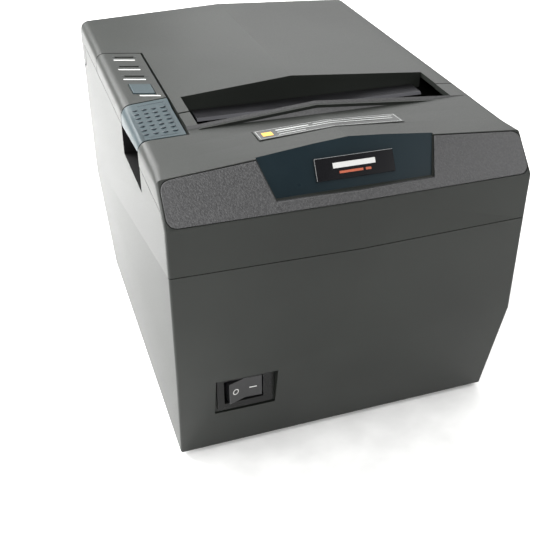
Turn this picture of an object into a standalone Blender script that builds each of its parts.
"""Receipt printer for 80 mm thermal paper, built as it comes apart on a bench.

Every length below is in millimetres, measured from the printer's datum: x to the right seen from the
front, y backwards from the front face, z up from the lower edge of the case. The objects are placed in
metres, with the origin on the ground under the middle of the printer.
"""

import math

import bmesh
import bpy
from mathutils import Matrix, Vector

MM = 0.001
GAP = 0.3

# The case, as a side outline whose points carry their height over the middle ridge.
WIDTH = 145.0
DEPTH = 202.0
FOOT_HEIGHT = 2.5
FRONT_BOW = 2.0
WALL = 2.2
HALF_WIDTH = WIDTH / 2
FOOT_DRAFT = 1.4
CREASE_Z = 49.2
FRONT_SEAM_Z = 93.5
NOSE_BOTTOM_Z = 112.7
NOSE_TOP = (11.6, 126.6)
BAND_END_Y = 45.0
LIP_Y = 49.2
LID_FRONT_Y = 77.7
REAR_TOP = (194.0, 129.5)
REAR_RADIUS = 8.0
REAR_BEND_Z = 42.0
CHIN_Y = 10.9
TOP_ROUND = 4.2
NOSE_ROUND = 3.6
TAIL_Y = 170.0

# Seams between the outer covers.
SKIRT_Z = 117.15
SIDE_SEAM_Z = 119.5
STRIP_X = -53.4
LID_LEFT_X = -52.4
SLOT_LEFT_X = -48.0
SLOT_RIGHT_X = 61.5
LEVER_FRONT_Y = 45.0
LEVER_REAR_Y = 79.5
PANEL_SLANT = 0.534

# Joint axes, as (y, z) of axes along x.
LID_AXIS = (195.5, 115.5)
EAR_RADIUS = 8.2
TROUGH_RADIUS = 9.0
PLATEN_AXIS = (70.0, 108.0)
LEVER_AXIS = (82.5, 122.0)
LATCH_AXIS = (80.0, 84.0)
HEAD_AXIS = (58.5, 89.0)

# The paper path is 80 mm wide and sits right of the middle, because the lever takes up the left side.
PATH_X = 7.0
ROLLER_HALF = 40.5
FRAME_LEFT_X = -40.2
FRAME_RIGHT_X = 53.0
FRAME_THICK = 1.2
DECK_Z = 38.0
DECK_THICK = 2.5

# Feed gears turn about axes along x, cutter gears about axes along z.
FEED_MODULE = 0.8
PLATEN_TEETH = 24
IDLER_TEETH = 26
REDUCTION_SMALL_TEETH = 14
REDUCTION_BIG_TEETH = 36
FEED_PINION_TEETH = 10
GEAR_X = (56.0, 61.0)
BIG_GEAR_X = (61.8, 65.0)
RACK_MODULE = 1.0
RACK_X = -50.0
RACK_TEETH = 12
CUTTER_MODULE = 0.6
CUTTER_WHEEL_TEETH = 40
CUTTER_PINION_TEETH = 10
CUTTER_AXIS = (-56.0, 32.0)
BLADE_Z = (119.2, 120.2)

ORIGIN = Vector((0.0, -(DEPTH - FRONT_BOW) / 2, FOOT_HEIGHT))

COLOURS = {
    "case": ((0.052, 0.055, 0.051), 0.5, 0.0),
    "nose": ((0.075, 0.077, 0.075), 0.7, 0.0),
    "lever": ((0.19, 0.25, 0.28), 0.45, 0.0),
    "black": ((0.012, 0.012, 0.013), 0.4, 0.0),
    "label": ((0.02, 0.02, 0.022), 0.35, 0.0),
    "lens": ((0.55, 0.55, 0.5), 0.2, 0.0),
    "inner": ((0.03, 0.03, 0.032), 0.6, 0.0),
    "steel": ((0.5, 0.5, 0.52), 0.35, 1.0),
    "aluminium": ((0.6, 0.6, 0.62), 0.4, 1.0),
    "rubber": ((0.02, 0.02, 0.02), 0.85, 0.0),
    "gear": ((0.75, 0.74, 0.7), 0.5, 0.0),
    "board": ((0.03, 0.18, 0.08), 0.5, 0.0),
}


def clear_scene():
    for obj in list(bpy.data.objects):
        bpy.data.objects.remove(obj, do_unlink=True)


clear_scene()
PARTS = bpy.data.collections.new("receipt_printer")
CUTTERS = bpy.data.collections.new("cutters")
bpy.context.scene.collection.children.link(PARTS)
bpy.context.scene.collection.children.link(CUTTERS)


# Materials and objects


def material(kind):
    found = bpy.data.materials.get(kind)
    if found:
        return found
    colour, roughness, metallic = COLOURS[kind]
    made = bpy.data.materials.new(kind)
    made.use_nodes = True
    shader = made.node_tree.nodes["Principled BSDF"]
    shader.inputs["Base Color"].default_value = (*colour, 1.0)
    shader.inputs["Roughness"].default_value = roughness
    shader.inputs["Metallic"].default_value = metallic
    return made


def mesh_object(name, shape, collection, pivot):
    """An object from a shape in millimetres, with its own origin at pivot."""
    pivot = Vector(pivot)
    bmesh.ops.translate(shape, verts=shape.verts, vec=-pivot)
    bmesh.ops.scale(shape, verts=shape.verts, vec=(MM, MM, MM))
    bmesh.ops.recalc_face_normals(shape, faces=shape.faces)
    mesh = bpy.data.meshes.new(name)
    shape.to_mesh(mesh)
    shape.free()
    obj = bpy.data.objects.new(name, mesh)
    obj.location = (ORIGIN + pivot) * MM
    collection.objects.link(obj)
    return obj


def part(name, shape, kind, pivot=(0, 0, 0)):
    obj = mesh_object(name, shape, PARTS, pivot)
    obj.data.materials.append(material(kind))
    obj.data.shade_smooth()
    obj.data.set_sharp_from_angle(angle=math.radians(35))
    return obj


def combine(obj, operation, shapes):
    for shape in shapes:
        name = f"{obj.name}_{operation.lower()}_{len(obj.modifiers)}"
        other = mesh_object(name, shape, CUTTERS, (0, 0, 0))
        other.hide_render = True
        other.display_type = "WIRE"
        step = obj.modifiers.new(name, "BOOLEAN")
        step.operation = operation
        step.solver = "EXACT"
        step.object = other
    return obj


def cut(obj, *shapes):
    return combine(obj, "DIFFERENCE", shapes)


def fuse(obj, *shapes):
    return combine(obj, "UNION", shapes)


def keep(obj, *shapes):
    return combine(obj, "INTERSECT", shapes)


# Shapes, each a bmesh in millimetres

AXIS_TURN = {
    "x": Matrix.Rotation(math.radians(90), 4, "Y"),
    "y": Matrix.Rotation(math.radians(-90), 4, "X"),
    "z": Matrix.Identity(4),
}


def block(x, y, z):
    """A box between the pairs x, y and z."""
    shape = bmesh.new()
    bmesh.ops.create_cube(shape, size=1.0)
    size = Vector((x[1] - x[0], y[1] - y[0], z[1] - z[0]))
    middle = Vector(((x[0] + x[1]) / 2, (y[0] + y[1]) / 2, (z[0] + z[1]) / 2))
    bmesh.ops.scale(shape, verts=shape.verts, vec=size)
    bmesh.ops.translate(shape, verts=shape.verts, vec=middle)
    return shape


def rod(axis, centre, radius, span, sides=20, end_radius=None):
    """A cylinder along x, y or z. centre holds the two other coordinates, and span its two ends."""
    shape = bmesh.new()
    bmesh.ops.create_cone(
        shape,
        cap_ends=True,
        segments=sides,
        radius1=radius,
        radius2=radius if end_radius is None else end_radius,
        depth=span[1] - span[0],
    )
    bmesh.ops.transform(shape, matrix=AXIS_TURN[axis], verts=shape.verts)
    middle = (span[0] + span[1]) / 2
    spot = {
        "x": (middle, centre[0], centre[1]),
        "y": (centre[0], middle, centre[1]),
        "z": (centre[0], centre[1], middle),
    }[axis]
    bmesh.ops.translate(shape, verts=shape.verts, vec=spot)
    return shape


def slab(axis, outline, span):
    """An outline of the two other coordinates, drawn out along x, y or z."""
    place = {
        "x": lambda a, b: (span[0], a, b),
        "y": lambda a, b: (a, span[0], b),
        "z": lambda a, b: (a, b, span[0]),
    }[axis]
    way = {"x": (1, 0, 0), "y": (0, 1, 0), "z": (0, 0, 1)}[axis]
    shape = bmesh.new()
    face = shape.faces.new([shape.verts.new(place(a, b)) for a, b in outline])
    drawn = bmesh.ops.extrude_face_region(shape, geom=[face])["geom"]
    moved = [item for item in drawn if isinstance(item, bmesh.types.BMVert)]
    bmesh.ops.translate(shape, verts=moved, vec=Vector(way) * (span[1] - span[0]))
    return shape


def skinned(shape, rows):
    """Closes a skin round rows of four points each."""
    for row, after in zip(rows, rows[1:]):
        for i in range(4):
            shape.faces.new((row[i], row[(i + 1) % 4], after[(i + 1) % 4], after[i]))
    shape.faces.new(rows[0])
    shape.faces.new(rows[-1])
    bmesh.ops.recalc_face_normals(shape, faces=shape.faces)
    bmesh.ops.triangulate(shape, faces=shape.faces)
    return shape


def arc(centre, radius, start, end, steps):
    """Points on an arc, in degrees from the first axis towards the second."""
    points = []
    for i in range(steps + 1):
        angle = math.radians(start + (end - start) * i / steps)
        points.append((centre[0] + radius * math.cos(angle), centre[1] + radius * math.sin(angle)))
    return points


def offset_outline(points, distances):
    """The closed outline with each corner moved inwards by its own distance, along its mitre."""
    area = sum(a[0] * b[1] - b[0] * a[1] for a, b in zip(points, points[1:] + points[:1]))
    side = 1.0 if area > 0 else -1.0
    moved = []
    for i, (here, distance) in enumerate(zip(points, distances)):
        before = Vector(here) - Vector(points[i - 1])
        after = Vector(points[(i + 1) % len(points)]) - Vector(here)
        first = Vector((-before.y, before.x)).normalized() * side
        second = Vector((-after.y, after.x)).normalized() * side
        mitre = (first + second) / (1 + first.dot(second))
        moved.append(tuple(Vector(here) + mitre * distance))
    return moved


def beyond(shape, point, normal):
    """What is left of a shape behind the plane through point, away from normal, closed again."""
    geometry = shape.verts[:] + shape.edges[:] + shape.faces[:]
    bisected = bmesh.ops.bisect_plane(shape, geom=geometry, plane_co=point, plane_no=normal, clear_outer=True)
    rim = [item for item in bisected["geom_cut"] if isinstance(item, bmesh.types.BMEdge)]
    bmesh.ops.holes_fill(shape, edges=rim)
    bmesh.ops.recalc_face_normals(shape, faces=shape.faces)
    bmesh.ops.triangulate(shape, faces=shape.faces)
    return shape


def top_z(y):
    """The height of the top at its side edges."""
    rise = (REAR_TOP[1] - NOSE_TOP[1]) / (REAR_TOP[0] - NOSE_TOP[0])
    return NOSE_TOP[1] + rise * (y - NOSE_TOP[0])


def band_crown(y):
    """The middle's extra height on the front cover's upper face, which flattens towards the paper slot."""
    return 6.1 - 4.1 * (y - NOSE_TOP[0]) / (BAND_END_Y - NOSE_TOP[0])


def hull_outline(bottom, lip):
    """(y, z, crown, bow, round) along the case: the middle is crown higher and bow further forward.
    With lip the crown jumps up just in front of the paper slot, and without it it rises evenly."""
    chin = CHIN_Y / CREASE_Z
    tail = (DEPTH - TAIL_Y) / REAR_BEND_Z
    points = [
        (CHIN_Y - bottom * chin, bottom, 0, 0, 0.8),
        (0, CREASE_Z, 0, 0.8 * FRONT_BOW, 1.2),
        (0, FRONT_SEAM_Z, 0, FRONT_BOW, 1.2),
        (0, NOSE_BOTTOM_Z, 0, 0.4 * FRONT_BOW, 1.2),
        (*NOSE_TOP, 6.1, 0, 2.4),
        *[(y, top_z(y), band_crown(y), 0, TOP_ROUND) for y in (22.8, 33.9, BAND_END_Y)],
        *([(LIP_Y, top_z(LIP_Y), 5.9, 0, TOP_ROUND)] if lip else []),
        (LID_FRONT_Y, top_z(LID_FRONT_Y), 6.0, 0, TOP_ROUND),
    ]
    centre = (DEPTH - REAR_RADIUS, REAR_TOP[1] - REAR_RADIUS)
    for step, (y, z) in enumerate(arc(centre, REAR_RADIUS, 90, 0, 6)):
        points.append((y, z, 3.4 * math.cos(math.radians(15 * step)), 0, TOP_ROUND - 0.25 * step))
    points.append((DEPTH, CREASE_Z, 0, 0, 2.0))
    points.append((DEPTH, REAR_BEND_Z, 0, 0, 1.6))
    points.append((TAIL_Y + bottom * tail, bottom, 0, 0, 0.8))
    return points


def hull(inset=0.0, bottom=0.0, rounded=False, lip=True):
    """The case's outer form with rounded side edges, or its sharp form moved in by inset."""
    drawn = hull_outline(bottom - inset, lip)
    line = [(y, z) for y, z, *_ in drawn]
    turns = [math.radians(turn) for turn in (90, 72, 54, 36, 18, 0)] if rounded else [math.radians(90)]
    columns = []
    for sign, order in ((-1, turns), (1, turns[::-1])):
        for turn in order:
            rounds = [point[4] if rounded else 0.0 for point in drawn]
            insets = [inset + size * (1 - math.cos(turn)) for size in rounds]
            backs = [inset + size * (1 - math.sin(turn)) for size in rounds]
            columns.append((sign, offset_outline(line, insets), backs))
        if sign < 0:
            columns.append((0, offset_outline(line, [inset] * len(line)), [0.0] * len(line)))
    shape = bmesh.new()
    rows = []
    for i, (_, _, crown, bow, _) in enumerate(drawn):
        row = []
        for sign, outline, backs in columns:
            y, z = outline[i]
            half = HALF_WIDTH - FOOT_DRAFT * max(0.0, 1 - z / CREASE_Z) - backs[i]
            middle = 1 - abs(sign) * half / HALF_WIDTH
            row.append(shape.verts.new((sign * half, y - bow * middle, z + crown * middle)))
        rows.append(row)
    for row, after in zip(rows, rows[1:] + rows[:1]):
        for i in range(len(row) - 1):
            shape.faces.new((row[i], row[i + 1], after[i + 1], after[i]))
    crease = 1
    rear = len(rows) - 3
    for i in (0, -1):
        shape.faces.new([row[i] for row in rows[crease : rear + 1]])
        shape.faces.new([rows[crease][i], rows[rear][i]] + [row[i] for row in rows[rear + 1 :] + rows[:1]])
    bmesh.ops.recalc_face_normals(shape, faces=shape.faces)
    bmesh.ops.triangulate(shape, faces=shape.faces)
    return shape


def roof_block(x, y, bottom, below):
    """A block under the crowned top, its upper faces this far below the outer top."""
    middle_y = sum(y) / 2

    def roof(at):
        crown = 6.0 - 2.6 * (middle_y - LID_FRONT_Y) / (REAR_TOP[0] - LID_FRONT_Y)
        return top_z(middle_y) + min(crown, 6.0) * (1 - abs(at) / HALF_WIDTH) - below

    outline = [(x[0], bottom), (x[1], bottom), (x[1], roof(x[1]))]
    if x[0] < 0 < x[1]:
        outline.append((0, roof(0)))
    outline.append((x[0], roof(x[0])))
    return slab("y", outline, y)


def coil(name, axis, centre, radius, wire, turns, span, kind):
    """A spring: a wire wound along x or y, as a curve of straight runs."""
    per_turn = 12
    count = turns * per_turn
    curve = bpy.data.curves.new(name, "CURVE")
    curve.dimensions = "3D"
    curve.bevel_depth = wire * MM
    curve.bevel_resolution = 1
    curve.use_fill_caps = True
    line = curve.splines.new("POLY")
    line.points.add(count)
    for i in range(count + 1):
        angle = 2 * math.pi * i / per_turn
        along = span[0] + (span[1] - span[0]) * i / count
        a = centre[0] + radius * math.cos(angle)
        b = centre[1] + radius * math.sin(angle)
        spot = (along, a, b) if axis == "x" else (a, along, b)
        line.points[i].co = (*((ORIGIN + Vector(spot)) * MM), 1.0)
    obj = bpy.data.objects.new(name, curve)
    obj.data.materials.append(material(kind))
    PARTS.objects.link(obj)
    return obj


# Gears


def gear_outline(centre, teeth, module, phase):
    """Straight-flanked teeth, slim enough to run with a little backlash. phase is one tooth's angle."""
    pitch = module * teeth / 2
    tip = pitch + 0.8 * module
    root = pitch - 1.05 * module
    step = 2 * math.pi / teeth
    points = []
    for i in range(teeth):
        middle = phase + i * step
        for radius, part_way in ((root, -0.30), (tip, -0.10), (tip, 0.10), (root, 0.30)):
            angle = middle + part_way * step
            points.append((centre[0] + radius * math.cos(angle), centre[1] + radius * math.sin(angle)))
    return points


def meshed_phase(phase, teeth, direction, other_teeth):
    """The phase of a gear that meshes with one of this phase, seen from it in this direction."""
    return direction + math.pi + math.pi / other_teeth - (phase - direction) * teeth / other_teeth


def beside(centre, direction, distance):
    return (centre[0] + distance * math.cos(direction), centre[1] + distance * math.sin(direction))


def feed_train():
    """Centres and phases of the feed gears, from the platen down to the motor, in the (y, z) plane."""
    half = FEED_MODULE / 2
    down = -math.pi / 2
    idler = beside(PLATEN_AXIS, down, half * (PLATEN_TEETH + IDLER_TEETH))
    idler_phase = meshed_phase(down, PLATEN_TEETH, down, IDLER_TEETH)
    forward_down = math.radians(-124)
    reduction = beside(idler, forward_down, half * (IDLER_TEETH + REDUCTION_SMALL_TEETH))
    small_phase = meshed_phase(idler_phase, IDLER_TEETH, forward_down, REDUCTION_SMALL_TEETH)
    to_motor = math.radians(-140)
    motor = beside(reduction, to_motor, half * (REDUCTION_BIG_TEETH + FEED_PINION_TEETH))
    motor_phase = meshed_phase(to_motor, REDUCTION_BIG_TEETH, to_motor, FEED_PINION_TEETH)
    return {
        "platen": (PLATEN_AXIS, down),
        "idler": (idler, idler_phase),
        "reduction": (reduction, small_phase),
        "big": (reduction, to_motor),
        "motor": (motor, motor_phase),
    }


# Outer covers


def panel_rear(x, clearance):
    """The slanted rear edge of the control panel, which the lid follows."""
    return 135.3 + clearance - PANEL_SLANT * (x - STRIP_X)


def base_case():
    case = part("base_case", hull(rounded=True), "case")
    open_side = [(-5, FRONT_SEAM_Z - GAP / 2), (1.9, FRONT_SEAM_Z - GAP / 2), (1.9, 112.2)]
    open_side += [(6.9, SKIRT_Z - GAP / 2), (63.0, SKIRT_Z - GAP / 2), (63.0, SIDE_SEAM_Z - GAP / 2)]
    open_side += [(215, SIDE_SEAM_Z - GAP / 2), (215, 145), (-5, 145)]
    bay_floor = slab("x", [(163.5, 0), (169.4, 0), (171.2, 2.3), (163.5, 2.3)], (-70.0, 70.0))
    bay_roof = slab("x", [(163.5, 33.8), (194.8, 33.8), (196.5, 36.1), (163.5, 36.1)], (-58.2, 58.2))
    bay_side = [(163.5, 0), (169.4, 0), (196.5, 36.1), (163.5, 36.1)]
    cut(case, hull(WALL, bottom=-1.0))
    fuse(
        case,
        block((-71.0, -65.4), (42.0, 82.4), (104.9, 114.9)),
        slab("x", [(8.2, 17.5), (9.6, 17.5), (9.6, 45.0), (2.2, 45.0)], (-60.5, -28.0)),
        bay_floor,
        bay_roof,
        slab("x", bay_side, (-58.2, -56.0)),
        slab("x", bay_side, (56.0, 58.2)),
    )
    for x in (-62.0, 58.0):
        fuse(
            case,
            block((x, x + 4.0), (178.0, 201.0), (72.0, 104.0)),
            block((x, x + 4.0), (178.0, 186.2), (103.0, 119.2)),
        )
    cut(case, slab("x", open_side, (-80, 80)), rod("x", LID_AXIS, TROUGH_RADIUS, (-80, 80), 28))
    for x in (-62.0, 58.0):
        fuse(
            case,
            block((x, x + 4.0), (180.0, LID_AXIS[0]), (LID_AXIS[1] - 3.6, LID_AXIS[1] + 3.6)),
            rod("x", LID_AXIS, 4.0, (x, x + 4.0), 20),
        )
        cut(case, rod("x", LID_AXIS, 2.0, (x - 1, x + 5.0), 16))
    for x in (-69.8, 60.8):
        for y in (30.0, 150.0):
            fuse(case, block((x, x + 9.0), (y - 4.5, y + 4.5), (2.6, 14.0)))
            cut(case, rod("z", (x + 4.5 + (0.3 if x < 0 else -0.3), y), 1.8, (0, 12.5), 12))
    cut(
        case,
        block((-57.0, -31.5), (-3.0, 6.6), (21.7, 41.4)),
        block((-53.6, -35.2), (5.0, 12.0), (25.0, 39.0)),
        block((-76.0, -66.7), (43.4, 81.0), (106.5, 125.0)),
        block((-56.0, 56.0), (160.0, 215.0), (2.3, 33.8)),
    )
    return case


def bottom_plate():
    plate = part("bottom_plate", block((-68.4, 68.4), (13.7, 163.1), (0.2, 2.2)), "inner")
    for x, y in SCREW_SPOTS:
        cut(plate, rod("z", (x, y), 1.9, (-1, 4), 12))


SCREW_SPOTS = [(x, y) for x in (-65.0, 65.0) for y in (30.0, 150.0)]
CORNER_NAMES = ["front_left", "rear_left", "front_right", "rear_right"]


def feet_and_screws():
    for name, (x, y) in zip(CORNER_NAMES, SCREW_SPOTS):
        inwards = -1 if x > 0 else 1
        foot = rod("z", (x + 10 * inwards, y - 4), 6.5, (-FOOT_HEIGHT, -0.1), 24, end_radius=7.0)
        part(f"foot_{name}", foot, "rubber")
        screw = part(f"case_screw_{name}", rod("z", (x, y), 3.0, (-1.5, -0.1), 16), "steel")
        fuse(screw, rod("z", (x, y), 1.4, (-0.8, 11.0), 10))


def front_cover():
    cover = part("front_cover", hull(rounded=True), "case", pivot=(0, 0, FRONT_SEAM_Z))
    plan = [(-80, -5), (80, -5), (80, 62.7), (SLOT_RIGHT_X - 0.3, 62.7), (SLOT_RIGHT_X - 0.3, LIP_Y)]
    plan += [(SLOT_LEFT_X, LIP_Y), (SLOT_LEFT_X, 61.9), (LID_LEFT_X, 61.9)]
    plan += [(LID_LEFT_X, LEVER_FRONT_Y - 0.8), (-80, LEVER_FRONT_Y - 0.8)]
    side = [(-5, FRONT_SEAM_Z + GAP / 2), (1.6, FRONT_SEAM_Z + GAP / 2), (1.6, 112.3)]
    side += [(6.8, SKIRT_Z + GAP / 2), (70, SKIRT_Z + GAP / 2), (70, 145), (-5, 145)]
    keep(cover, slab("z", plan, (80, 145)), slab("x", side, (-80, 80)))
    for point, normal in (
        ((36.0, 0, 0), (-1, 0, 0)),
        ((-36.0, 0, 0), (1, 0, 0)),
        ((0, NOSE_RECESS[0][0] + 2.0, NOSE_RECESS[0][1]), (0, -1, 0.595)),
    ):
        cut(cover, beyond(hull(WALL, bottom=-1.0), point, normal))
    fuse(cover, roof_block((SLOT_LEFT_X + 0.1, SLOT_RIGHT_X - 0.4), (46.9, 49.1), 121.0, 1.0))
    cut(cover, nose_sheet(-0.9, 4.0, 0.25), nose_recess())
    cut(cover, label_sheet(-0.45, 3.0, 0.3))


# The flat sunk face in the middle of the nose: the lower point, then the upper one, then clear of the cover.
NOSE_RECESS = [(4.9, 116.4), (14.6, 132.7), (17.0, 139.0), (-6.0, 139.0), (-6.0, 116.4)]


def nose_recess(spread=0.0):
    """The space of the nose's sunk middle, whose ends lean in towards its lower edge."""
    shape = slab("x", NOSE_RECESS, (-35.0 - spread, 33.0 + spread))
    for vert in shape.verts:
        fall = (NOSE_TOP[1] - vert.co.z) / (NOSE_TOP[1] - NOSE_BOTTOM_Z)
        vert.co.x += (5.3 if vert.co.x < 0 else -3.0) * fall
    return shape


def nose_sheet(inner, outer, spread):
    """The sloping nose face with round ends, as a sheet between two distances from it, outwards positive."""
    low = Vector((0, NOSE_BOTTOM_Z))
    high = Vector(NOSE_TOP)
    reach = HALF_WIDTH - 1.2 + spread
    turns = [math.radians(turn) for turn in (90, 67.5, 45, 22.5, 0)]
    ends = [(reach - NOSE_ROUND * (1 - math.sin(turn)), NOSE_ROUND * (1 - math.cos(turn))) for turn in turns]
    columns = [(-x, inset) for x, inset in ends] + [(0, 0)] + ends[::-1]
    shape = bmesh.new()
    rows = []
    for x, inset in columns:
        middle = 1 - abs(x) / HALF_WIDTH
        bottom = low - Vector((0.4 * FRONT_BOW * middle, 0))
        top = high + Vector((0, 6.1 * middle))
        up = (top - bottom).normalized()
        out = Vector((-up.y, up.x))
        margin = 0.6 - spread + inset
        row = []
        for upper, away in ((False, inner), (True, inner), (True, outer), (False, outer)):
            start = top - up * margin if upper else bottom + up * margin
            spot = start + out * away
            row.append(shape.verts.new((x, spot.x, spot.y)))
        rows.append(row)
    return skinned(shape, rows)


def tilted(x, along, away):
    """A plate on the nose's sunk face: along runs up it, away stands out from it."""
    start = Vector(NOSE_RECESS[0])
    up = (Vector(NOSE_RECESS[1]) - start).normalized()
    out = Vector((-up.y, up.x))
    corners = ((along[0], away[0]), (along[1], away[0]), (along[1], away[1]), (along[0], away[1]))
    return slab("x", [tuple(start + up * a + out * b) for a, b in corners], x)


def nose_parts():
    """The textured nose panel round the sunk middle, and the plain badge plate on the sunk face."""
    panel = part("nose_panel", nose_sheet(-0.6, 0.2, 0.0), "nose")
    cut(panel, nose_recess(0.4))
    part("badge_plate", tilted((-15.2, 16.2), (3.5, 12.0), (0.3, 1.1)), "label")
    part("label_plate", label_sheet(-0.15, 0.15, 0.0), "label")


def label_sheet(low, high, spread):
    """A sheet bent over the middle ridge of the front cover's upper face, between two heights over it."""
    front = 27.0 - spread
    back = 36.5 + spread
    shape = bmesh.new()
    rows = []
    for x in (-30.0 - spread, 0.0, 29.0 + spread):
        row = []
        for y, lift in ((front, low), (back, low), (back, high), (front, high)):
            row.append(shape.verts.new((x, y, top_z(y) + band_crown(y) * (1 - abs(x) / HALF_WIDTH) + lift)))
        rows.append(row)
    return skinned(shape, rows)


def top_cover():
    """The paper lid: ears round the hinge, two arms beside the paper slot and a flange along it."""
    lid = part("top_cover", hull(rounded=True), "case", pivot=(0, *LID_AXIS))
    plan = [(-80, panel_rear(-80, 0.8)), (LID_LEFT_X, panel_rear(LID_LEFT_X, 0.8)), (LID_LEFT_X, 63.0)]
    plan += [(SLOT_LEFT_X, 63.0), (SLOT_LEFT_X, LID_FRONT_Y), (SLOT_RIGHT_X, LID_FRONT_Y)]
    plan += [(SLOT_RIGHT_X, 63.3), (80, 63.3), (80, 215), (-80, 215)]
    seam = SIDE_SEAM_Z + GAP / 2
    turn = math.degrees(math.asin((seam - LID_AXIS[1]) / EAR_RADIUS))
    side = [(50, seam)] + arc(LID_AXIS, EAR_RADIUS, 180 - turn, 322, 14)
    side += [(215, 110.4), (215, 145), (50, 145)]
    keep(lid, slab("z", plan, (80, 145)), slab("x", side, (-80, 80)))
    cut(lid, hull(WALL, bottom=-1.0))
    fuse(lid, roof_block((SLOT_LEFT_X + 0.1, SLOT_RIGHT_X - 0.1), (LID_FRONT_Y + 0.1, 80.0), 121.7, 1.0))
    lug = arc(LID_AXIS, 4.0, 180, 360, 8)
    lug += [(200.9, 118.0), (200.9, 121.5), (199.0, 126.2), (195.0, 128.6), (188.0, 128.6)]
    for x in (-57.4, 53.0):
        fuse(lid, slab("x", lug, (x, x + 4.4)))
        cut(lid, rod("x", LID_AXIS, 2.0, (x - 1, x + 5.4), 16))
    part("hinge_rod", rod("x", LID_AXIS, 1.75, (-62.8, 62.8), 16), "steel", pivot=(0, *LID_AXIS))


# The lid's inside, with the platen


def cover_liner():
    plate = block((-36.0, 50.0), (75.0, 176.0), (119.3, 121.3))
    liner = part("cover_liner", plate, "inner", pivot=(0, *LID_AXIS))
    bracket = [(65.5, 103.5), (74.5, 103.5), (86.0, 119.6), (86.0, 121.2), (67.0, 121.2), (64.8, 112.0)]
    for x in (-36.0, 48.2):
        fuse(liner, slab("x", bracket, (x, x + 1.8)))
    for x, top in ((-30.0, 128.3), (44.0, 127.2)):
        for y in (95.0, 165.0):
            fuse(liner, rod("z", (x, y), 3.0, (121.0, top), 12))
    fuse(liner, block((-30.0, 44.0), (75.2, 77.2), (121.0, 122.3)))
    cut(liner, rod("x", PLATEN_AXIS, 3.4, (-37, 51), 16))
    part("fixed_blade", block((-33.8, 47.8), (63.5, 76.0), (117.6, 118.9)), "steel")
    bar = [(66.8, 122.6), (77.4, 122.6), (77.4, 123.6), (68.0, 123.6)]
    part("tear_bar", slab("x", bar, (-44.0, 57.0)), "steel")


def platen():
    at = (PATH_X, *PLATEN_AXIS)
    span = (PATH_X - ROLLER_HALF, PATH_X + ROLLER_HALF)
    roller = part("platen_roller", rod("x", PLATEN_AXIS, 7.0, span, 32), "rubber", pivot=at)
    cut(roller, rod("x", PLATEN_AXIS, 3.35, (-60, 70), 16))
    part("platen_shaft", rod("x", PLATEN_AXIS, 3.0, (-41.6, 61.6), 16), "steel", pivot=at)
    for name, x in (("left", FRAME_LEFT_X - 1.1), ("right", FRAME_RIGHT_X - 0.2)):
        bush = part(f"platen_bush_{name}", rod("x", PLATEN_AXIS, 4.9, (x, x + 2.6), 20), "gear")
        cut(bush, rod("x", PLATEN_AXIS, 3.35, (x - 1, x + 4), 16))


def gear(name, place, teeth, module, span, axis, bore=None):
    centre, phase = place
    shape = slab(axis, gear_outline(centre, teeth, module, phase), span)
    pivot = (0, *centre) if axis == "x" else (*centre, 0)
    obj = part(name, shape, "gear", pivot=pivot)
    if bore:
        cut(obj, rod(axis, centre, bore, (span[0] - 1, span[1] + 1), 16))
    return obj


def feed_gears():
    train = feed_train()
    gear("platen_gear", train["platen"], PLATEN_TEETH, FEED_MODULE, GEAR_X, "x", bore=3.35)
    idler = gear("idler_gear", train["idler"], IDLER_TEETH, FEED_MODULE, GEAR_X, "x")
    fuse(idler, rod("x", train["idler"][0], 1.8, (51.6, 61.3), 12))
    reduction = gear("reduction_gear", train["reduction"], REDUCTION_SMALL_TEETH, FEED_MODULE, GEAR_X, "x")
    big_centre, big_phase = train["big"]
    big = gear_outline(big_centre, REDUCTION_BIG_TEETH, FEED_MODULE, big_phase)
    fuse(
        reduction,
        rod("x", big_centre, 4.0, (60.5, 62.5), 16),
        slab("x", big, BIG_GEAR_X),
        rod("x", big_centre, 1.8, (52.9, 57.0), 12),
    )
    pinion = gear("feed_pinion", train["motor"], FEED_PINION_TEETH, FEED_MODULE, BIG_GEAR_X, "x")
    motor_centre = train["motor"][0]
    fuse(pinion, rod("x", motor_centre, 1.4, (49.0, 62.5), 12))
    motor = part("feed_motor", rod("x", motor_centre, 17.5, (30.0, 52.6), 32), "steel")
    cut(motor, rod("x", motor_centre, 1.8, (48.0, 54.0), 12))
    fuse(motor, block((32.0, 46.0), (motor_centre[0] - 6, motor_centre[0] + 6), (41.0, 47.0)))


# The print mechanism


def frames():
    outline = [(13.0, 40.9), (92.0, 40.9), (92.0, 90.0), (80.5, 100.0), (80.5, 112.5), (75.3, 112.5)]
    outline += arc(PLATEN_AXIS, 5.3, 0, -180, 8)
    outline += [(64.7, 112.5), (61.5, 114.9), (13.0, 114.9)]
    train = feed_train()
    for name, x in (("left", FRAME_LEFT_X), ("right", FRAME_RIGHT_X)):
        frame = part(f"frame_{name}", slab("x", outline, (x, x + FRAME_THICK)), "steel")
        span = (x - 1, x + FRAME_THICK + 1)
        cut(frame, rod("x", LATCH_AXIS, 2.9, span, 16), rod("x", HEAD_AXIS, 2.3, span, 16))
        if name == "right":
            for wheel, radius in (("idler", 2.1), ("reduction", 2.1), ("motor", 2.2)):
                cut(frame, rod("x", train[wheel][0], radius, span, 12))
    bridge = block((FRAME_LEFT_X + FRAME_THICK + GAP, FRAME_RIGHT_X - GAP), (42.0, 43.6), (92.0, 113.0))
    part("frame_bridge", bridge, "steel")


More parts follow.
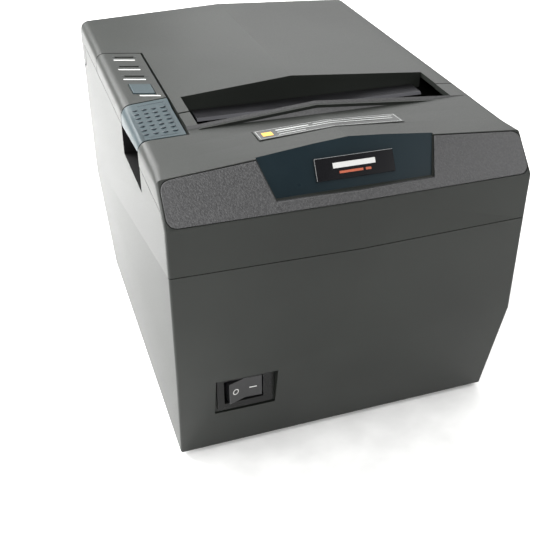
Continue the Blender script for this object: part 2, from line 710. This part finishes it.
def print_head():
    span = (PATH_X - ROLLER_HALF, PATH_X + ROLLER_HALF)
    part("print_head", block(span, (61.0, 62.5), (96.0, 115.2)), "black", pivot=(PATH_X, *HEAD_AXIS))
    plate = block(span, (56.4, 60.7), (86.5, 113.8))
    sink = part("heat_sink", plate, "aluminium", pivot=(PATH_X, *HEAD_AXIS))
    fuse(sink, rod("x", HEAD_AXIS, 2.0, (-40.9, 54.9), 16))
    for i in range(4):
        z = 93.6 + 5.6 * i
        cut(sink, block((-40, 54), (55.0, 58.8), (z, z + 2.6)))
    for name, x in (("left", -15.0), ("right", 29.0)):
        coil(f"head_spring_{name}", "y", (x, 106.0), 3.0, 0.45, 5, (44.4, 54.6), "steel")


def paper_guide():
    guide = part("paper_guide", block((-33.5, 47.5), (64.0, 88.5), (98.2, 99.6)), "inner")
    fuse(guide, block((-38.6, 52.6), (64.0, 70.0), (98.2, 99.6)))


def cutter():
    plan = [(-67.0, 12.5), (52.8, 12.5), (52.8, 55.0), (-38.5, 55.0), (-38.5, 46.5), (-67.0, 46.5)]
    frame = part("cutter_frame", slab("z", plan, (115.3, 116.8)), "steel")
    for x in (-32.0, 43.0):
        fuse(frame, block((x, x + 3.0), (27.0, 54.5), (116.5, 118.9)))
    centres = CUTTER_MODULE * (CUTTER_WHEEL_TEETH + CUTTER_PINION_TEETH) / 2
    motor_centre = beside(CUTTER_AXIS, -math.pi / 2, centres)
    cut(frame, rod("z", CUTTER_AXIS, 2.4, (114, 118), 16), rod("z", motor_centre, 1.8, (114, 118), 12))
    wheel_phase = -math.pi / 2
    wheel_place = (CUTTER_AXIS, wheel_phase)
    wheel = gear("cutter_gear", wheel_place, CUTTER_WHEEL_TEETH, CUTTER_MODULE, (117.2, 118.8), "z")
    rack_pinion = gear_outline(CUTTER_AXIS, RACK_TEETH, RACK_MODULE, 0.0)
    fuse(
        wheel,
        slab("z", rack_pinion, (118.6, 120.5)),
        rod("z", CUTTER_AXIS, 2.1, (111.5, 118.0), 16),
        rod("z", CUTTER_AXIS, 2.1, (119.5, 122.8), 16),
    )
    disc = rod("z", CUTTER_AXIS, 6.5, (121.0, 124.2), 16)
    knob = part("cutter_knob", disc, "lever", pivot=(*CUTTER_AXIS, 0))
    cut(knob, rod("z", CUTTER_AXIS, 2.4, (120.0, 123.1), 16))
    phase = meshed_phase(wheel_phase, CUTTER_WHEEL_TEETH, -math.pi / 2, CUTTER_PINION_TEETH)
    place = (motor_centre, phase)
    pinion = gear("cutter_pinion", place, CUTTER_PINION_TEETH, CUTTER_MODULE, (117.2, 118.8), "z")
    fuse(pinion, rod("z", motor_centre, 1.2, (112.6, 118.0), 12))
    motor = part("cutter_motor", rod("z", motor_centre, 8.0, (90.0, 114.9), 24), "steel")
    cut(motor, rod("z", motor_centre, 1.6, (112.0, 116.0), 12))


def moving_blade():
    """The sliding blade: a shallow V edge at the back, and a rack along its left side."""
    pitch = math.pi * RACK_MODULE
    root = RACK_X + 1.05 * RACK_MODULE
    tip = RACK_X - 0.8 * RACK_MODULE
    outline = [(-33.0, 28.0), (47.0, 28.0), (47.0, 56.0), (PATH_X, 50.5), (-33.0, 56.0), (-33.0, 36.0)]
    outline += [(-45.0, 36.0), (-45.0, 39.0), (root, 39.0)]
    for tooth in range(1, -7, -1):
        middle = CUTTER_AXIS[1] + pitch * (tooth + 0.5)
        for x, part_way in ((root, 0.30), (tip, 0.10), (tip, -0.10), (root, -0.30)):
            outline.append((x, middle + part_way * pitch))
    outline += [(root, 12.6), (-45.0, 12.6), (-45.0, 29.0), (-33.0, 29.0)]
    part("moving_blade", slab("z", outline, BLADE_Z), "steel")


# Left-hand strip: control panel, lever and latch


def strip_shell(name, kind, plan, side, pivot):
    shell = part(name, hull(rounded=True, lip=name != "open_lever"), kind, pivot=pivot)
    keep(shell, slab("z", plan, (80, 145)), slab("x", side, (-80, -50)))
    cut(shell, hull(WALL, bottom=-1.0))
    return shell


def slanted(x, middle, half):
    """An outline between two x, with front and rear edges slanted like the panel's."""
    centre = sum(x) / 2
    low = [(at, middle - half - PANEL_SLANT * (at - centre)) for at in x]
    high = [(at, middle + half - PANEL_SLANT * (at - centre)) for at in reversed(x)]
    return low + high


LED_Y = (134.2, 121.6, 109.2)
LED_X = (-65.0, -57.0)
BUTTON_X = (-65.0, -56.6)


def control_panel():
    front = LEVER_REAR_Y + 0.8
    plan = [(-80, front), (STRIP_X, front), (STRIP_X, panel_rear(STRIP_X, 0)), (-80, panel_rear(-80, 0))]
    seam = SIDE_SEAM_Z + GAP / 2
    side = [(60, seam), (170, seam), (170, 145), (60, 145)]
    panel = strip_shell("control_panel", "case", plan, side, (0, 0, 0))
    lug = arc(LEVER_AXIS, 2.6, 180, 360, 8) + [(LEVER_AXIS[0] + 2.6, 126.9), (LEVER_AXIS[0] - 2.1, 126.9)]
    for x in (-69.0, -56.4):
        fuse(panel, slab("x", lug, (x, x + 1.6)))
    cut(panel, rod("x", LEVER_AXIS, 1.8, (-70.5, -50), 12))
    for y in LED_Y:
        cut(panel, slab("z", slanted(LED_X, y, 0.8), (120, 140)))
    cut(panel, slab("z", slanted((BUTTON_X[0] - GAP, BUTTON_X[1] + GAP), 93.4, 5.7), (120, 140)))
    button = part("feed_button", slab("z", slanted(BUTTON_X, 93.4, 5.4), (125.3, 140)), "lever")
    keep(button, hull(-0.4))
    lens = part("indicator_lens", block((-66.5, -55.5), (104.0, 140.0), (122.6, 124.4)), "lens")
    for y in LED_Y:
        fuse(lens, slab("z", slanted((LED_X[0] + 0.25, LED_X[1] - 0.25), y, 0.5), (124.0, 128.3)))


def open_lever():
    plan = [(-80, LEVER_FRONT_Y), (STRIP_X, LEVER_FRONT_Y), (STRIP_X, LEVER_REAR_Y), (-80, LEVER_REAR_Y)]
    side = [(40, 123.5), (82, 119.5), (82, 145), (40, 145)]
    lever = strip_shell("open_lever", "lever", plan, side, (0, *LEVER_AXIS))
    arm = [(64.0, 125.2), (78.0, 120.2), (82.5, 119.0), (84.9, 120.2), (85.4, 122.0), (84.9, 123.8)]
    arm += [(82.5, 125.0), (79.2, 125.5), (79.2, 127.3), (64.0, 127.0)]
    finger = [(80.6, 121.0), (84.4, 121.0), (78.9, 102.5), (76.4, 102.5)]
    fuse(lever, slab("x", arm, (-64.5, -58.0)), slab("x", finger, (-63.0, -60.0)))
    cut(lever, rod("x", LEVER_AXIS, 1.8, (-66, -57), 12))
    part("lever_pin", rod("x", LEVER_AXIS, 1.5, (-69.6, -54.2), 12), "steel", pivot=(-62, *LEVER_AXIS))
    coil("lever_spring", "x", LEVER_AXIS, 2.5, 0.3, 3, (-66.9, -65.2), "steel")


def latch():
    at = (0, *LATCH_AXIS)
    shaft = part("latch_shaft", rod("x", LATCH_AXIS, 2.5, (-66.8, 55.2), 16), "steel", pivot=at)
    arm = [(76.5, 85.0), (80.0, 90.0), (80.0, 103.0), (83.5, 103.0), (84.0, 85.0)]
    fuse(shaft, rod("x", LATCH_AXIS, 4.5, (-63.2, -59.8), 16), slab("x", arm, (-63.2, -59.8)))
    hook = arc(LATCH_AXIS, 5.0, 150, 390, 12) + [(84.0, 92.0), (81.0, 100.0), (79.2, 114.5), (74.6, 114.5)]
    hook += [(73.5, 112.3), (75.8, 110.6), (75.8, 100.0)]
    for name, x in (("left", -38.4), ("right", 50.9)):
        piece = part(f"latch_hook_{name}", slab("x", hook, (x, x + 1.5)), "steel", pivot=at)
        cut(piece, rod("x", LATCH_AXIS, 2.8, (x - 1, x + 3), 16))


# Power switch, board and rear connectors

ROCKER_AXIS = (-44.7, 9.3)
ROCKER_TILT = 8.0


def power_switch():
    bezel = part("switch_bezel", block((-55.9, -32.9), (4.9, 6.3), (23.4, 40.6)), "black")
    fuse(bezel, block((-53.2, -35.6), (6.0, 20.0), (25.4, 38.6)))
    cut(bezel, block((-52.8, -36.6), (3.0, 13.5), (26.5, 37.5)))
    face = [(-7.2, -5.0), (0.0, -3.7), (7.2, -5.0), (7.0, 0.4), (2.0, 2.6), (-2.0, 2.6), (-7.0, 0.4)]
    turn = Matrix.Rotation(math.radians(ROCKER_TILT), 2)
    outline = [tuple(Vector(ROCKER_AXIS) + turn @ Vector(point)) for point in face]
    part("power_rocker", slab("z", outline, (26.9, 37.1)), "black", pivot=(*ROCKER_AXIS, 32.0))


# Each socket: its box in x and z, and the outline of its opening in x and z.
SOCKETS = {
    "dc_jack": ((38.0, 51.0), (9.9, 22.0), arc((44.5, 16.0), 4.5, 0, 337.5, 15)),
    "drawer_socket": ((20.0, 34.0), (9.9, 23.5), [(22.5, 12.0), (31.5, 12.0), (31.5, 20.0), (22.5, 20.0)]),
    "usb_socket": (
        (2.0, 14.0),
        (9.9, 21.0),
        [(3.8, 11.6), (12.2, 11.6), (12.2, 17.5), (10.6, 19.2), (5.4, 19.2), (3.8, 17.5)],
    ),
    "serial_socket": (
        (-50.0, -19.0),
        (9.9, 22.4),
        [(-42.0, 12.2), (-27.0, 12.2), (-25.6, 20.2), (-43.4, 20.2)],
    ),
}


def connectors():
    panel = part("connector_panel", block((-55.6, 55.6), (164.3, 166.3), (2.7, 33.4)), "case")
    for name, (x, z, opening) in SOCKETS.items():
        socket = part(name, block(x, (150.0, 167.6), z), "black")
        cut(socket, slab("y", opening, (158.0, 169.0)))
        cut(panel, block((x[0] - 0.4, x[1] + 0.4), (163.0, 168.0), (z[0] - 0.4, z[1] + 0.4)))
    pin = bpy.data.objects["dc_jack"]
    fuse(pin, rod("y", (44.5, 16.0), 1.2, (157.0, 166.5), 10))


def main_board():
    board = part("main_board", block((-54.0, 54.0), (20.0, 160.0), (8.0, 9.6)), "board")
    chips = [((-18, 2), (62, 82), 2.2), ((16, 30), (60, 70), 1.8), ((-44, -34), (96, 112), 4.0)]
    chips += [((28, 44), (96, 106), 6.0), ((-30, -20), (30, 36), 3.0), ((6, 20), (26, 34), 5.0)]
    for x, y, height in chips:
        fuse(board, block(x, y, (9.4, 9.6 + height)))
    for x, y in ((38.0, 126.0), (24.0, 126.0)):
        fuse(board, rod("z", (x, y), 5.0, (9.4, 24.0), 16))
    plate = bpy.data.objects["bottom_plate"]
    for x in (-48.0, 48.0):
        for y in (30.0, 140.0):
            fuse(plate, rod("z", (x, y), 3.0, (1.6, 7.7), 12))


def paper_bucket():
    """The moulded inner deck: the roll trough, the deck in front of it, and the legs under both."""
    centre = (133.0, 72.0)
    outer = [(89.0, 96.0)] + arc(centre, 44.0, 180, 360, 18) + [(177.0, 112.0)]
    inner = [(91.0, 140.0)] + arc(centre, 42.0, 180, 360, 18) + [(175.0, 140.0)]
    bucket = part("paper_bucket", slab("x", outer, (PATH_X - 43.5, PATH_X + 43.5)), "inner")
    fuse(bucket, block((-66.0, 66.0), (10.0, 182.0), (DECK_Z, DECK_Z + DECK_THICK)))
    cut(bucket, slab("x", inner, (PATH_X - 41.5, PATH_X + 41.5)))
    cut(bucket, block((-55.0, -34.0), (9.0, 21.0), (DECK_Z - 1, DECK_Z + 4)))
    for x in (-59.6, 55.6):
        for y in (46.0, 130.0):
            fuse(bucket, block((x, x + 4.0), (y, y + 4.0), (2.6, DECK_Z + 1)))
    fuse(bucket, block((-66.2, -64.4), (75.5, 84.5), (DECK_Z + 1, 88.5)))
    cut(bucket, rod("x", LATCH_AXIS, 2.9, (-68, -63), 16))


def main():
    base_case()
    bottom_plate()
    feet_and_screws()
    front_cover()
    nose_parts()
    top_cover()
    cover_liner()
    platen()
    feed_gears()
    frames()
    print_head()
    paper_guide()
    cutter()
    moving_blade()
    control_panel()
    open_lever()
    latch()
    power_switch()
    connectors()
    main_board()
    paper_bucket()


main()
